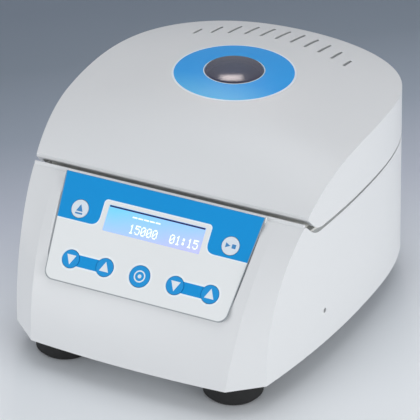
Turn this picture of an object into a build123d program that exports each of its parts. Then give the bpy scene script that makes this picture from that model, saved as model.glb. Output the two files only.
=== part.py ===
from build123d import *
import math
import os

os.makedirs("parts", exist_ok=True)

# Bench microcentrifuge with a hinged lid. Millimetres, +Z up, front towards -Y.
# The origin is on the bench under the middle of the closed machine.

# Outline of the casing, seen from above
body_half_width = 100.8
body_front = -130.0
body_rear = 122.0
side_bow_radius = 545.0
side_bow_y = 20.0
rear_round_start = 12.0
rear_round_power = 3.0
draft_angle = 1.3

# Heights of the casing
foot_height = 18.0
base_front_height = 109.0
lid_front_lower = 111.0
lid_front_upper = 113.0
dome_height = 150.3
casing_wall = 3.0

# Front of the base: a bulging face with a bevel on each corner
front_top_y = -72.0
front_bulge = 11.6
front_bow = 2.8
front_bow_top = 0.4
front_wall = 4.0
bevel_inner_x = 65.7
bevel_inner_lean = 0.09
bevel_width = 19.2
bevel_depth = 16.6
bevel_end_height = 106.0

# Seam between base and lid: it dips behind the front corners and thins towards the hinge
lid_front = -68.0
seam_dip_length = 16.0
seam_dip_lead = 2.5
lid_side_lower = 100.9
lid_rear_lower = 101.6
base_side_top = 98.6
base_rear_top = 101.0

# Dome of the lid
dome_side_radius = 320.0
dome_long_radius = 330.0
dome_crest_y = 20.5
dome_brow_y = -16.0

# Control panel
panel_slope = 49.7
panel_top_y = -74.4
panel_top_z = 111.2
panel_half_top = 67.2
panel_half_bottom = 61.0
panel_length = 68.0
panel_corner = 6.0
panel_flare = 9.0
overlay_thickness = 1.0
panel_backing = 3.0
display_width = 64.5
display_height = 16.0
display_v = 23.1
display_flange = 0.6
display_board = 1.3
overlay_gap = 0.15
overlay_top_v = 4.3

# Keys on the panel, places along the panel's width and down its slope
key_radius = 5.6
short_key_radius = 6.6
key_clearance = 0.3
key_travel = 0.5
key_upper_x = 50.6
key_upper_v = 21.9
key_lower_v = 52.9
key_outer_x = 46.8
key_inner_x = 23.6
key_flange = 1.3
key_flange_thickness = 1.0
key_face = 0.2
key_stop_gap = 0.15
switch_gap = 0.7
switch_size = 6.0
switch_height = 3.5
switch_stem = 0.6
board_thickness = 1.6
board_half_width = 62.0
board_v_start = 14.0
board_v_end = 61.0

# Rotor chamber and what turns in it
chamber_y = 21.5
chamber_radius = 66.0
chamber_floor = 58.0
bowl_wall = 1.2
bowl_flange = 6.0
bowl_flange_thickness = 1.5
bowl_corner = 8.0
bowl_neck_radius = 14.0
deck_hole_clearance = 0.3
rotor_radius = 60.0
rotor_rim_z = 104.5
rotor_hub_z = 87.0
rotor_bottom_z = 64.0
rotor_seat_z = 66.0
tube_count = 12
tube_radius = 5.6
tube_depth = 33.0
tube_mouth_radius = 30.0
tube_tip = 4.0
rotor_shoulder_z = 82.0
rotor_rim_outer = 42.0
rotor_rim_inner = 36.0
rotor_dish_inner = 24.0
rotor_dish_step = 4.0
rotor_foot_inner = 20.0
rotor_foot_outer = 44.0
spindle_collar_radius = 9.0
spindle_collar_height = 5.0
spindle_radius = 4.0
spindle_top = 96.0
hub_clearance = 0.02
nut_radius = 12.0
nut_height = 11.0
nut_lobe = 2.5
nut_lobes = 6
nut_cap = 1.5

# Motor on its soft mounts
motor_radius = 30.0
motor_bottom = 23.0
motor_top = 46.0
motor_wall = 2.0
stator_bore = 19.0
stator_yoke = 25.0
stator_slot = 3.5
stator_bottom = 32.5
stator_height = 10.5
air_gap = 0.5
stator_slots = 12
bearing_outer = 11.0
bearing_height = 6.0
bearing_clearance = 0.03
mount_plate_radius = 47.0
mount_plate_thickness = 2.5
damper_count = 3
damper_radius = 7.0
damper_height = 12.0
damper_circle = 39.0

# Deck that closes the base round the chamber
deck_z = 97.5
deck_thickness = 3.0
deck_lip_inset = 7.5
deck_lip_wall = 2.0
deck_lip_top = 112.4
deck_front = -72.5
deck_shelf_z = 101.0
deck_shelf_thickness = 2.5
deck_shelf_rear = -66.0
ledge_width = 5.0
seat_clearance = 0.2

# Floor of the base
floor_recess = 1.0
floor_thickness = 2.5
foot_radius = 18.5
foot_x = 57.6
foot_front_y = -98.8
foot_rear_y = 78.0
foot_edge = 2.5
foot_cup_radius = 13.0
foot_cup_depth = 2.5

# Lid inside
liner_z = 113.0
liner_thickness = 2.5
liner_rib_height = 4.6
liner_gap = 0.3
liner_front = -62.0
lid_front_wall = 2.6
lid_front_drop = 1.5
lid_boss_radius = 4.5
lid_boss_front = (18.8, -20.0)
lid_boss_rear = (34.8, 84.0)
lid_screw_head = 1.5
gasket_inner = 68.0
gasket_width = 4.0
gasket_gap = 0.3
window_radius = 18.6
window_clearance = 0.15
window_flange = 3.0
window_thickness = 3.0
window_rise = 0.6
window_sag = 0.9
window_lip = 1.5
window_seat_drop = 0.9
label_radius = 38.9
label_thickness = 0.5
label_proud = 0.1
vent_count = 11
vent_pitch = 10.5
vent_width = 2.0
vent_front_y = -37.4
vent_front_radius = 120.0
vent_rear_y = 35.4
vent_rear_radius = 71.0

# Hinge at the back
hinge_y = 126.0
hinge_z = 103.4
hinge_radius = 4.0
hinge_pin_radius = 1.5
hinge_pin_clearance = 0.05
hinge_width = 60.0
hinge_leaf = 2.0
hinge_seat_y = 119.4
hinge_leaf_height = 22.0
hinge_knuckles = 5
hinge_knuckle_gap = 0.4
hinge_screw_radius = 1.5
hinge_screw_head_radius = 3.0
hinge_screw_head = 1.2
hinge_screw_length = 5.0
hinge_base_screw_z = 88.0
hinge_lid_screw_z = 119.0

# Lid catch
striker_y = -54.2
striker_thickness = 1.6
striker_width = 24.0
striker_foot_z = 76.0
striker_window_width = 14.0
striker_window_height = 7.0
striker_tab = 9.0
striker_swing = 2.6
catch_z = 83.0
catch_thickness = 3.0
catch_width = 12.0
catch_travel = 6.2
catch_clearance = 0.4
catch_length = 10.8
catch_rest_gap = 1.6
bracket_thickness = 2.0
bracket_flange = 5.0
solenoid_radius = 6.0
solenoid_length = 8.5
plunger_radius = 1.4
plunger_length = 9.8

# Mains inlet, switch and vents at the rear
rear_panel_half = 37.0
rear_panel_low = 30.0
rear_panel_high = 72.0
rear_panel_y = 117.0
rear_panel_thickness = 2.0
inlet_x = -17.0
inlet_width = 27.0
inlet_height = 20.0
inlet_depth = 18.0
inlet_flange = 2.0
inlet_socket_width = 24.0
inlet_socket_height = 16.0
inlet_socket_depth = 15.0
inlet_pin_length = 11.0
switch_x = 20.0
rocker_width = 13.0
rocker_height = 20.0
rocker_tilt = 8.0
rocker_pivot_depth = 3.0
rocker_wall = 1.0
rocker_end_wall = 1.0
rocker_gap = 0.3
rocker_trunnion = 0.8
rocker_pin_radius = 1.2
switch_depth = 13.0
rear_slot_count = 6
rear_slot_pitch = 6.5
rear_slot_width = 3.0
rear_slot_first = 46.0
rear_slot_low = 42.0
rear_slot_high = 84.0

# Cooling fan over the floor
fan_inset = 45.8
fan_y = -40.0
fan_size = 50.0
fan_depth = 10.0
fan_bore = 23.5
fan_blade_count = 7
fan_hub_radius = 10.0
fan_hub_height = 6.7
fan_tip_gap = 0.7
fan_blade_chord = 9.0
fan_blade_pitch = 35.0
fan_blade_thickness = 1.2
fan_boss_height = 2.5
fan_pin_radius = 1.5
fan_pin_height = 6.0
fan_screw_reach = 21.0
fan_screw_radius = 1.5
intake_rows = 3
intake_pitch = 6.0
intake_slot = 3.0

# Power supply board over the floor
power_inset = 45.8
power_y = -40.0
power_board_width = 42.0
power_board_length = 60.0
power_post_radius = 3.0
power_post_height = 6.0
power_post_margin = 4.5
transformer_width = 30.0
transformer_length = 26.0
transformer_height = 22.0
capacitor_radius = 6.0
capacitor_height = 20.0

# Bosses for the floor screws
boss_inset = 20.8
boss_front_y = -78.0
boss_rear_y = 62.0
boss_top = 45.0
boss_radius = 5.5

# Emergency release hole and screws
release_hole_y = -50.0
release_hole_z = 40.5
release_hole_radius = 1.6
release_hole_depth = 80.0
case_screw_radius = 1.5
case_screw_length = 12.0
case_screw_head = 1.5
case_screw_head_radius = 3.0
deck_screw_radius = 1.25
deck_screw_head_radius = 1.9
deck_screw_inset = 5.25
screw_clearance = 0.2
foot_screw_radius = 2.0
foot_head_radius = 4.0
foot_head_z = 6.5
foot_head_height = 2.5
foot_nut_radius = 4.0
foot_nut_height = 3.0
damper_screw_radius = 2.0
damper_head_radius = 4.0
damper_head_height = 2.0
damper_screw_grip = 7.0
damper_waist = 1.5
panel_screw_radius = 0.8
panel_screw_head_radius = 1.5
panel_screw_grip = 3.5
board_screw_radius = 1.25
standoff_radius = 3.5
standoff_pilot = 4.0

# Sizes worked out from the ones above
draft = math.tan(math.radians(draft_angle))
panel_angle = math.radians(panel_slope)
rear_round_length = body_rear - rear_round_start
floor_z = foot_height + floor_recess
fan_x = fan_inset - body_half_width
power_x = body_half_width - power_inset
floor_top = floor_z + floor_thickness
overlay_back = -overlay_thickness
backing_back = overlay_back - panel_backing
flange_top = backing_back - key_stop_gap
flange_bottom = flange_top - key_flange_thickness
board_top = flange_bottom - switch_gap - switch_height
mount_plate_z = motor_top
damper_bottom = mount_plate_z - damper_height
post_height = damper_bottom - floor_top
deck_top = deck_z + deck_thickness
striker_slot_front = striker_y - striker_thickness - striker_swing
striker_slot_rear = striker_y + 0.8

hinge_seat_low = hinge_z - hinge_leaf_height - 4
rear_slot_start = 85.0
rear_slot_middle = (rear_slot_low + rear_slot_high) / 2
rear_rebate = 3.0
standoff_places = [
    (side * x, -v)
    for side in (-1, 1)
    for x, v in ((display_width / 2 + 7.25, board_v_start + 3.5), (board_half_width - 5, board_v_end - 3))
]
boss_top_z = motor_top + 10.0
liner_top = liner_z + liner_thickness
gasket_bottom = deck_top + bowl_flange_thickness
gasket_top = liner_z - liner_rib_height - gasket_gap
lid_boss_places = [
    (side * (body_half_width - inset), y)
    for side in (-1, 1)
    for inset, y in (lid_boss_front, lid_boss_rear)
]
foot_places = [(side * foot_x, y) for side in (-1, 1) for y in (foot_front_y, foot_rear_y)]
damper_places = [
    (
        damper_circle * math.cos(math.radians(90 + k * 360 / damper_count)),
        chamber_y + damper_circle * math.sin(math.radians(90 + k * 360 / damper_count)),
    )
    for k in range(damper_count)
]
power_post_places = [
    (
        power_x + i * (power_board_width / 2 - power_post_margin),
        power_y + j * (power_board_length / 2 - power_post_margin),
    )
    for i in (-1, 1)
    for j in (-1, 1)
]
fan_screw_places = [
    (fan_x + i * fan_screw_reach, fan_y + j * fan_screw_reach) for i in (-1, 1) for j in (-1, 1)
]

# The panel's own plane: x across, y up the slope, z out of the face
panel_plane = Plane(
    origin=(0, panel_top_y, panel_top_z),
    x_dir=(1, 0, 0),
    z_dir=(0, -math.sin(panel_angle), math.cos(panel_angle)),
)


def panel_at(height):
    """Plane parallel to the panel, at a height above its face."""
    return panel_plane.offset(height)


def half_width(y):
    """Half width of the casing at bench level, forward of the rounded back."""
    return body_half_width - (y - side_bow_y) ** 2 / (2 * side_bow_radius)


def plan_points(inset):
    """Points along the right side from the front to the middle of the back."""
    points = []
    start = body_front - 20
    for k in range(4):
        y = start + k * (rear_round_start - start) / 3
        points.append((half_width(y) - inset, y))
    across = half_width(rear_round_start) - inset
    along = rear_round_length - inset
    power = 2 / rear_round_power
    for degrees in (15, 30, 45, 60, 75):
        angle = math.radians(degrees)
        x = across * math.cos(angle) ** power
        y = rear_round_start + along * math.sin(angle) ** power
        points.append((x, y))
    points.append((0, rear_round_start + along))
    return points


def plan_outline(inset, front_y):
    """Closed outline of the casing with a straight front, as a sketch."""
    right = plan_points(inset)
    left = [(-x, y) for x, y in reversed(right[:-1])]
    with BuildSketch(mode=Mode.PRIVATE) as outline:
        with BuildLine():
            Spline(*right, *left)
            Line(left[-1], right[0])
        make_face()
        with Locations((0, front_y)):
            Rectangle(
                4 * body_half_width,
                4 * body_half_width,
                align=(Align.CENTER, Align.MAX),
                mode=Mode.SUBTRACT,
            )
    return outline.sketch


def side_x(y, inset):
    """Distance of the casing's side from the middle plane at depth y."""
    if y <= rear_round_start:
        return half_width(y) - inset
    along = (y - rear_round_start) / (rear_round_length - inset)
    across = half_width(rear_round_start) - inset
    return across * (1 - along**rear_round_power) ** (1 / rear_round_power)


def wall_inset(z):
    """How far the draft has moved the wall inwards at height z."""
    return (z - foot_height) * draft


def walls(low, high, inset, front_y):
    """Solid inside the drafted side and rear walls between two heights."""
    with BuildPart(mode=Mode.PRIVATE) as block:
        with BuildSketch(Plane.XY.offset(low)):
            add(plan_outline(inset + wall_inset(low), front_y))
        with BuildSketch(Plane.XY.offset(high)):
            add(plan_outline(inset + wall_inset(high), front_y))
        loft(ruled=True)
    return block.part


def seam_block(dip_y, front_z, side_z, rear_z):
    """Solid under the seam: level at the front, then a dip to the sides' lower line."""
    low_y = dip_y + seam_dip_length
    rear_y = body_rear + 20
    slope = (rear_z - side_z) / (rear_y - low_y)
    with BuildSketch(mode=Mode.PRIVATE) as section:
        with BuildLine():
            Spline((dip_y, front_z), (low_y, side_z), tangents=[(1, -0.9), (1, slope)])
            Polyline(
                (low_y, side_z),
                (rear_y, rear_z),
                (rear_y, foot_height - 10),
                (body_front - 30, foot_height - 10),
                (body_front - 30, front_z),
                (dip_y, front_z),
            )
        make_face()
    with BuildPart(mode=Mode.PRIVATE) as block:
        with BuildSketch(Plane.YZ.offset(-body_half_width - 20)):
            add(section.sketch)
        extrude(amount=2 * body_half_width + 40)
    return block.part


def front_y_at(z):
    """Middle of the bulging front at height z: an arc leaning back."""
    low = Vector(body_front, foot_height)
    high = Vector(front_top_y, base_front_height)
    chord = (high - low).length
    radius = (chord**2 / 4 + front_bulge**2) / (2 * front_bulge)
    along = (high - low).normalized()
    out = Vector(-along.Y, along.X)
    centre = (low + high) * 0.5 - out * (radius - front_bulge)
    return centre.X - math.sqrt(radius**2 - (z - centre.Y) ** 2)


def front_section(z, setback):
    """Plan of the front at one height: bowed face, bevels, open back."""
    rise = (z - foot_height) / (base_front_height - foot_height)
    bow = front_bow_top + (front_bow - front_bow_top) * (1 - rise**3)
    middle = front_y_at(z) + setback
    corner_x = bevel_inner_x + bevel_inner_lean * (z - foot_height)
    climb = max(0.0, (z - foot_height) / (bevel_end_height - foot_height))
    depth = max(0.4, bevel_depth * (1 - climb**1.35))
    outer_x = body_half_width + bevel_width
    outer_y = middle + bow + depth * (outer_x - corner_x) / bevel_width
    back_y = body_rear + 60
    with BuildSketch(mode=Mode.PRIVATE) as section:
        with BuildLine():
            ThreePointArc((-corner_x, middle + bow), (0, middle), (corner_x, middle + bow))
            Polyline(
                (corner_x, middle + bow),
                (outer_x, outer_y),
                (outer_x, back_y),
                (-outer_x, back_y),
                (-outer_x, outer_y),
                (-corner_x, middle + bow),
            )
        make_face()
    return section.sketch


def front_block(setback):
    """Solid behind the bulging front and its bevels."""
    levels = [foot_height - 4, 33.0, 48.0, 63.0, 78.0, 93.0, base_front_height + 3]
    with BuildPart(mode=Mode.PRIVATE) as block:
        for z in levels:
            with BuildSketch(Plane.XY.offset(z)):
                add(front_section(z, setback))
        loft()
    return block.part


def box_between(low, high):
    """Box from its lowest corner to its highest, in the current mode."""
    size = Vector(high) - Vector(low)
    with Locations((Vector(high) + Vector(low)) * 0.5):
        Box(size.X, size.Y, size.Z)


def box_solid(low, high):
    """The same box as a free solid."""
    size = Vector(high) - Vector(low)
    centre = (Vector(high) + Vector(low)) * 0.5
    return Pos(centre) * Box(size.X, size.Y, size.Z)


def save(part, label):
    """Label a finished piece and write it out."""
    part.part.label = label
    export_step(part.part, f"parts/{label}.step")


def panel_half(v):
    """Half width of the panel at a distance down its slope."""
    return panel_half_top - (panel_half_top - panel_half_bottom) * v / panel_length


def panel_outline(grow, top_v, bottom_v):
    """Panel outline in the panel's own plane, wider by grow on each side."""
    with BuildSketch(mode=Mode.PRIVATE) as outline:
        Polygon(
            (-panel_half(top_v) - grow, -top_v),
            (-panel_half(bottom_v) - grow, -bottom_v),
            (panel_half(bottom_v) + grow, -bottom_v),
            (panel_half(top_v) + grow, -top_v),
            align=None,
        )
        fillet(outline.vertices().group_by(Axis.Y)[0], panel_corner)
    return outline.sketch


def rear_panel_outline(grow):
    """Outline of the rear connector panel, grown or shrunk all round."""
    with BuildSketch(mode=Mode.PRIVATE) as outline:
        with Locations((0, (rear_panel_low + rear_panel_high) / 2)):
            RectangleRounded(
                2 * (rear_panel_half + grow),
                rear_panel_high - rear_panel_low + 2 * grow,
                2.5 + grow if grow > -2 else 0.8,
            )
    return outline.sketch


key_places = {
    "key_lid": (-key_upper_x, key_upper_v, key_radius),
    "key_start_stop": (key_upper_x, key_upper_v, key_radius),
    "key_speed_down": (-key_outer_x, key_lower_v, key_radius),
    "key_speed_up": (-key_inner_x, key_lower_v, key_radius),
    "key_short_spin": (0, key_lower_v, short_key_radius),
    "key_time_down": (key_inner_x, key_lower_v, key_radius),
    "key_time_up": (key_outer_x, key_lower_v, key_radius),
}

deck_screw_places = [
    (side * side_x(y, wall_inset(deck_z) + deck_screw_inset), y)
    for side in (-1, 1)
    for y in (-40.0, 20.0, 92.0)
]
panel_screw_places = [
    (side * (rear_panel_half - rear_rebate / 2), (rear_panel_low + rear_panel_high) / 2 + z)
    for side in (-1, 1)
    for z in (-13.0, 13.0)
]
hinge_screw_xs = (-22.0, -8.0, 8.0, 22.0)

chamber_axis = Axis((0, chamber_y, 0), (0, 0, 1))
chamber_section = Plane.XZ.offset(-chamber_y)

# Base housing: the moulded casing under the seam
base_outer = walls(foot_height, base_front_height, 0, body_front - 10) & front_block(0)
base_cavity = walls(foot_height - 1, base_front_height + 1, casing_wall, body_front - 10)
base_cavity = base_cavity & front_block(front_wall)
panel_block = panel_at(backing_back) * Box(
    2 * panel_half_top + 12,
    panel_length + 25,
    40,
    align=(Align.CENTER, Align.CENTER, Align.MIN),
)
panel_block = panel_block.moved(Location(panel_plane.y_dir * (-panel_length / 2 + 7)))
base_cavity = base_cavity - panel_block
ledge = walls(deck_z - 3, deck_z, casing_wall - 0.5, deck_front)
ledge = ledge - walls(deck_z - 4, deck_z + 1, casing_wall + ledge_width, deck_front - 5)
shelf = box_solid(
    (-panel_half_top, front_top_y - 20, deck_shelf_z),
    (panel_half_top, deck_shelf_rear, deck_shelf_z + deck_shelf_thickness),
)
shelf = (shelf & base_outer) - panel_at(backing_back + 0.5) * Box(
    200, 200, 60, align=(Align.CENTER, Align.CENTER, Align.MIN)
)
boss_places = [
    (side * (body_half_width - boss_inset), y) for side in (-1, 1) for y in (boss_front_y, boss_rear_y)
]
bosses = Part()
for x, y in boss_places:
    reach = math.copysign(boss_inset + boss_radius, x)
    post = Pos(x, y, floor_top) * Cylinder(
        boss_radius, boss_top - floor_top, align=(Align.CENTER, Align.CENTER, Align.MIN)
    )
    rib = box_solid(
        (min(x, x + reach), y - 1.5, floor_top),
        (max(x, x + reach), y + 1.5, boss_top),
    )
    bosses = bosses + ((post + rib) & base_outer)
rear_frame = box_solid(
    (-rear_panel_half - 5, rear_panel_y - 4, rear_panel_low - 5),
    (rear_panel_half + 5, body_rear, rear_panel_high + 5),
)
rear_frame = rear_frame & base_outer
base_room = seam_block(lid_front - seam_dip_lead, base_front_height - 1, base_side_top, base_rear_top)

with BuildPart() as base_housing:
    add((base_outer - base_cavity + ledge + shelf + bosses + rear_frame) & base_room)
    # Panel recess, its sides flaring out to the bulging face
    with BuildSketch(panel_at(overlay_back)):
        add(panel_outline(0, -12, panel_length))
    with BuildSketch(panel_at(overlay_back + 15)):
        add(panel_outline(panel_flare, -12, panel_length))
    loft(ruled=True, mode=Mode.SUBTRACT)
    # Window and key holes through the panel's backing
    with BuildSketch(panel_at(overlay_back)):
        with Locations((0, -display_v)):
            Rectangle(display_width + 4, display_height + 4)
        for x, v, radius in key_places.values():
            with Locations((x, -v)):
                Circle(radius + key_clearance)
    extrude(amount=-panel_backing - 2, mode=Mode.SUBTRACT)
    # Room for the key flanges where the front wall runs close behind
    with BuildSketch(panel_at(backing_back)):
        for x, v, radius in key_places.values():
            with Locations((x, -v)):
                Circle(radius + key_flange + key_clearance)
    extrude(amount=-4, mode=Mode.SUBTRACT)
    # Standoffs for the control board behind the panel
    with BuildSketch(panel_at(board_top)):
        with Locations(*standoff_places):
            Circle(standoff_radius)
    extrude(amount=backing_back - board_top)
    with BuildSketch(panel_at(board_top)):
        with Locations(*standoff_places):
            Circle(board_screw_radius)
    extrude(amount=standoff_pilot, mode=Mode.SUBTRACT)
    # Flat seat for the hinge
    with BuildSketch(Plane.XY.offset(hinge_seat_low)):
        with Locations((0, hinge_seat_y)):
            Rectangle(hinge_width + 2, 20, align=(Align.CENTER, Align.MIN))
    extrude(amount=base_front_height, mode=Mode.SUBTRACT)
    # Rear opening with a rebate for the connector panel
    with BuildSketch(Plane.XZ.offset(-rear_panel_y)):
        add(rear_panel_outline(seat_clearance))
    extrude(amount=-20, mode=Mode.SUBTRACT)
    with BuildSketch(Plane.XZ.offset(-rear_panel_y)):
        add(rear_panel_outline(-rear_rebate))
    extrude(amount=10, mode=Mode.SUBTRACT)
    # Air slots in the rounded back
    with BuildSketch(Plane.XZ.offset(-rear_slot_start)):
        for side in (-1, 1):
            for k in range(rear_slot_count):
                with Locations((side * (rear_slot_first + k * rear_slot_pitch), rear_slot_middle)):
                    SlotOverall(rear_slot_high - rear_slot_low, rear_slot_width, rotation=90)
    extrude(amount=-60, mode=Mode.SUBTRACT)
    # Hole for the emergency lid release on the right side
    with BuildSketch(Plane.YZ.offset(release_hole_depth)):
        with Locations((release_hole_y, release_hole_z)):
            Circle(release_hole_radius)
    extrude(amount=40, mode=Mode.SUBTRACT)
    # Pilot holes for the floor screws and the deck screws
    with BuildSketch(Plane.XY.offset(floor_top)):
        with Locations(*boss_places):
            Circle(case_screw_radius)
    extrude(amount=case_screw_length, mode=Mode.SUBTRACT)
    with BuildSketch(Plane.XY.offset(deck_z)):
        with Locations(*deck_screw_places):
            Circle(deck_screw_radius)
    extrude(amount=-10, mode=Mode.SUBTRACT)
    # Pilot holes for the hinge leaf and the connector panel
    with BuildSketch(Plane.XZ.offset(-hinge_seat_y)):
        with Locations(*[(x, hinge_base_screw_z) for x in hinge_screw_xs]):
            Circle(hinge_screw_radius)
    extrude(amount=8, mode=Mode.SUBTRACT)
    with BuildSketch(Plane.XZ.offset(-rear_panel_y)):
        with Locations(*panel_screw_places):
            Circle(panel_screw_radius)
    extrude(amount=panel_screw_grip, mode=Mode.SUBTRACT)
save(base_housing, "base_housing")

# Floor plate: closes the base from below and carries the feet and the motor
floor_blank = walls(floor_z, floor_top, casing_wall + seat_clearance, body_front - 10)
floor_blank = floor_blank & front_block(front_wall + seat_clearance)

with BuildPart() as floor_plate:
    add(floor_blank)
    with BuildSketch(Plane.XY.offset(floor_top)):
        with Locations(*damper_places):
            Circle(damper_radius)
    extrude(amount=damper_bottom - floor_top)
    with BuildSketch(Plane.XY.offset(floor_top)):
        with Locations(*power_post_places):
            Circle(power_post_radius)
    extrude(amount=power_post_height)
    with BuildSketch(Plane.XY.offset(floor_z)):
        with Locations(*foot_places):
            Circle(foot_screw_radius + screw_clearance)
        with Locations(*boss_places):
            Circle(case_screw_radius + screw_clearance)
    extrude(amount=floor_thickness, mode=Mode.SUBTRACT)
    with BuildSketch(Plane.XY.offset(damper_bottom)):
        with Locations(*damper_places):
            Circle(damper_screw_radius)
    extrude(amount=-damper_screw_grip, mode=Mode.SUBTRACT)
    with BuildSketch(Plane.XY.offset(floor_top + power_post_height)):
        with Locations(*power_post_places):
            Circle(board_screw_radius)
    extrude(amount=-standoff_pilot, mode=Mode.SUBTRACT)
    with BuildSketch(Plane.XY.offset(floor_z)):
        with Locations(*fan_screw_places):
            Circle(fan_screw_radius)
    extrude(amount=floor_thickness, mode=Mode.SUBTRACT)
    # Air intake under the fan: rows of slots inside the fan's bore
    with BuildSketch(Plane.XY.offset(floor_z)):
        for k in range(-intake_rows, intake_rows + 1):
            reach = math.sqrt((fan_bore - 2) ** 2 - (k * intake_pitch) ** 2)
            with Locations((fan_x, fan_y + k * intake_pitch)):
                SlotOverall(2 * reach, intake_slot)
    extrude(amount=floor_thickness, mode=Mode.SUBTRACT)
save(floor_plate, "floor_plate")

# Rubber feet with a hollow sole, and the screws and nuts that hold them
with BuildPart() as rubber_feet:
    with BuildSketch():
        with Locations(*foot_places):
            Circle(foot_radius)
    extrude(amount=floor_z)
    chamfer(rubber_feet.faces().group_by(Axis.Z)[0].edges(), foot_edge)
    with BuildSketch():
        with Locations(*foot_places):
            Circle(foot_cup_radius)
    extrude(amount=foot_cup_depth, mode=Mode.SUBTRACT)
    with BuildSketch():
        with Locations(*foot_places):
            Circle(foot_head_radius + screw_clearance)
    extrude(amount=foot_head_z + foot_head_height, mode=Mode.SUBTRACT)
    with BuildSketch():
        with Locations(*foot_places):
            Circle(foot_screw_radius + screw_clearance)
    extrude(amount=floor_z, mode=Mode.SUBTRACT)
save(rubber_feet, "rubber_feet")

with BuildPart() as foot_screws:
    with BuildSketch(Plane.XY.offset(foot_head_z)):
        with Locations(*foot_places):
            Circle(foot_head_radius)
    extrude(amount=foot_head_height)
    with BuildSketch(Plane.XY.offset(foot_head_z)):
        with Locations(*foot_places):
            Circle(foot_screw_radius)
    extrude(amount=floor_top + foot_nut_height + 1 - foot_head_z)
save(foot_screws, "foot_screws")

with BuildPart() as foot_nuts:
    with BuildSketch(Plane.XY.offset(floor_top)):
        with Locations(*foot_places):
            RegularPolygon(foot_nut_radius, 6)
            Circle(foot_screw_radius + hub_clearance, mode=Mode.SUBTRACT)
    extrude(amount=foot_nut_height)
save(foot_nuts, "foot_nuts")

with BuildPart() as floor_screws:
    with BuildSketch(Plane.XY.offset(floor_z)):
        with Locations(*boss_places):
            Circle(case_screw_head_radius)
    extrude(amount=-case_screw_head)
    with BuildSketch(Plane.XY.offset(floor_z)):
        with Locations(*boss_places):
            Circle(case_screw_radius - hub_clearance)
    extrude(amount=floor_thickness + case_screw_length - 1)
save(floor_screws, "floor_screws")

# Deck round the chamber, with the upstanding lip that the lid closes over
lip_front = lid_front + deck_lip_inset
lip_ring = walls(deck_top - 0.5, deck_lip_top, deck_lip_inset, lip_front)
lip_ring = lip_ring - walls(
    deck_top - 1, deck_lip_top + 1, deck_lip_inset + deck_lip_wall, lip_front + deck_lip_wall
)

with BuildPart() as top_deck:
    add(walls(deck_z, deck_top, casing_wall + seat_clearance, deck_front))
    add(lip_ring)
    with BuildSketch(Plane.XY.offset(deck_z)):
        with Locations((0, chamber_y)):
            Circle(chamber_radius + bowl_wall + deck_hole_clearance)
        with Locations(*deck_screw_places):
            Circle(deck_screw_radius + screw_clearance)
        with Locations((0, (striker_slot_front + striker_slot_rear) / 2)):
            Rectangle(striker_width + 3, striker_slot_rear - striker_slot_front)
    extrude(amount=deck_thickness, mode=Mode.SUBTRACT)
save(top_deck, "top_deck")

with BuildPart() as deck_screws:
    with BuildSketch(Plane.XY.offset(deck_top)):
        with Locations(*deck_screw_places):
            Circle(deck_screw_head_radius)
    extrude(amount=case_screw_head)
    with BuildSketch(Plane.XY.offset(deck_top)):
        with Locations(*deck_screw_places):
            Circle(deck_screw_radius - hub_clearance)
    extrude(amount=-deck_thickness - 2.5)
save(deck_screws, "deck_screws")

# Chamber bowl, hung by its flange on the deck
bowl_bottom = chamber_floor - bowl_wall
bowl_outer = chamber_radius + bowl_wall

with BuildPart() as chamber_bowl:
    with BuildSketch(chamber_section):
        with BuildLine():
            Polyline(
                (bowl_neck_radius, chamber_floor),
                (bowl_neck_radius, bowl_bottom),
                (chamber_radius - bowl_corner, bowl_bottom),
                (bowl_outer, bowl_bottom + bowl_corner + bowl_wall),
                (bowl_outer, deck_top),
                (chamber_radius + bowl_flange, deck_top),
                (chamber_radius + bowl_flange, deck_top + bowl_flange_thickness),
                (chamber_radius, deck_top + bowl_flange_thickness),
                (chamber_radius, chamber_floor + bowl_corner),
                (chamber_radius - bowl_corner, chamber_floor),
                (bowl_neck_radius, chamber_floor),
            )
        make_face()
    revolve(axis=chamber_axis)
save(chamber_bowl, "chamber_bowl")

with BuildPart() as chamber_gasket:
    with BuildSketch(chamber_section):
        Polygon(
            (gasket_inner, gasket_bottom),
            (gasket_inner + gasket_width, gasket_bottom),
            (gasket_inner + gasket_width, gasket_bottom + 2),
            (gasket_inner + gasket_width - 1, gasket_top),
            (gasket_inner + 1, gasket_top),
            (gasket_inner, gasket_bottom + 2),
            align=None,
        )
    revolve(axis=chamber_axis)
save(chamber_gasket, "chamber_gasket")

# Motor: can, end cap, stator and two bearings, hung under a plate on dampers
cap_z = motor_top - motor_wall

with BuildPart() as motor_can:
    with BuildSketch(chamber_section):
        Polygon(
            (0, motor_bottom),
            (motor_radius, motor_bottom),
            (motor_radius, cap_z),
            (motor_radius - motor_wall, cap_z),
            (motor_radius - motor_wall, motor_bottom + motor_wall),
            (bearing_outer + motor_wall, motor_bottom + motor_wall),
            (bearing_outer + motor_wall, motor_bottom + motor_wall + bearing_height),
            (bearing_outer, motor_bottom + motor_wall + bearing_height),
            (bearing_outer, motor_bottom + motor_wall),
            (0, motor_bottom + motor_wall),
            align=None,
        )
    revolve(axis=chamber_axis)
save(motor_can, "motor_can")

with BuildPart() as motor_end_cap:
    with BuildSketch(chamber_section):
        Polygon(
            (spindle_radius + 2, cap_z),
            (motor_radius, cap_z),
            (motor_radius, motor_top),
            (bearing_outer + motor_wall, motor_top),
            (bearing_outer + motor_wall, boss_top_z),
            (bearing_outer, boss_top_z),
            (bearing_outer, boss_top_z - bearing_height),
            (spindle_radius + 2, boss_top_z - bearing_height),
            align=None,
        )
    revolve(axis=chamber_axis)
save(motor_end_cap, "motor_end_cap")

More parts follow.
